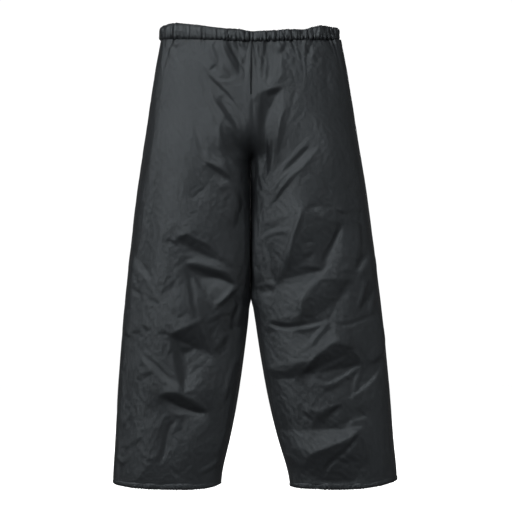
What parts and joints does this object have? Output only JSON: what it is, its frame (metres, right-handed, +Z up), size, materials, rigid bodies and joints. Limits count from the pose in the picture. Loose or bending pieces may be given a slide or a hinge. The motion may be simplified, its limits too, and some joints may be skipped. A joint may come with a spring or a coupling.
{
  "type": "insulated over-trousers",
  "caption": "Insulated over-trousers in padded woven nylon with a gathered elastic waistband and elastic leg hems.",
  "frame": {"origin": "centre of the waist opening, level with the top of the waistband", "axes": "+Z up, the front faces -Y, +X is the wearer's left; the trousers hang as worn"},
  "size_m": [0.5988, 0.1362, 0.98],
  "materials": {
    "shell_fabric": "satin",
    "lining": "matte",
    "wadding": "matte",
    "elastic": "matte",
    "label": "satin"
  },
  "bodies": {
    "seat": {"back_rise_seam": "shell_fabric", "care_label": "label", "front_rise_seam": "shell_fabric", "left_hip_lining": "lining", "left_hip_shell": "shell_fabric", "left_hip_wadding": "wadding", "left_seat_lining": "lining", "left_seat_shell_back": "shell_fabric", "left_seat_shell_front": "shell_fabric", "left_seat_wadding": "wadding", "right_hip_lining": "lining", "right_hip_shell": "shell_fabric", "right_hip_wadding": "wadding", "right_seat_lining": "lining", "right_seat_shell_back": "shell_fabric", "right_seat_shell_front": "shell_fabric", "right_seat_wadding": "wadding", "waist_elastic": "elastic", "waistband_casing": "shell_fabric"},
    "left_thigh": {"left_knee_lining": "lining", "left_knee_shell": "shell_fabric", "left_knee_wadding": "wadding", "left_thigh_lining": "lining", "left_thigh_shell_back": "shell_fabric", "left_thigh_shell_front": "shell_fabric", "left_thigh_wadding": "wadding"},
    "right_thigh": {"right_knee_lining": "lining", "right_knee_shell": "shell_fabric", "right_knee_wadding": "wadding", "right_thigh_lining": "lining", "right_thigh_shell_back": "shell_fabric", "right_thigh_shell_front": "shell_fabric", "right_thigh_wadding": "wadding"},
    "left_shin": {"left_hem_casing": "shell_fabric", "left_hem_elastic": "elastic", "left_shin_lining": "lining", "left_shin_shell_back": "shell_fabric", "left_shin_shell_front": "shell_fabric", "left_shin_wadding": "wadding"},
    "right_shin": {"right_hem_casing": "shell_fabric", "right_hem_elastic": "elastic", "right_shin_lining": "lining", "right_shin_shell_back": "shell_fabric", "right_shin_shell_front": "shell_fabric", "right_shin_wadding": "wadding"}
  },
  "joints": [
    {"name": "left_hip", "type": "hinge", "parent": "seat", "child": "left_thigh", "pos_m": [0.117, 0, -0.29], "axis": [-1, 0, 0], "range_deg": [-15, 75], "deforming": ["left_hip_shell", "left_hip_wadding", "left_hip_lining"]},
    {"name": "left_knee", "type": "hinge", "parent": "left_thigh", "child": "left_shin", "pos_m": [0.1415, 0, -0.62], "axis": [1, 0, 0], "range_deg": [0, 90], "deforming": ["left_knee_shell", "left_knee_wadding", "left_knee_lining"]},
    {"name": "right_hip", "type": "hinge", "parent": "seat", "child": "right_thigh", "pos_m": [-0.117, 0, -0.29], "axis": [-1, 0, 0], "range_deg": [-15, 75], "deforming": ["right_hip_shell", "right_hip_wadding", "right_hip_lining"]},
    {"name": "right_knee", "type": "hinge", "parent": "right_thigh", "child": "right_shin", "pos_m": [-0.1415, 0, -0.62], "axis": [1, 0, 0], "range_deg": [0, 90], "deforming": ["right_knee_shell", "right_knee_wadding", "right_knee_lining"]}
  ]
}
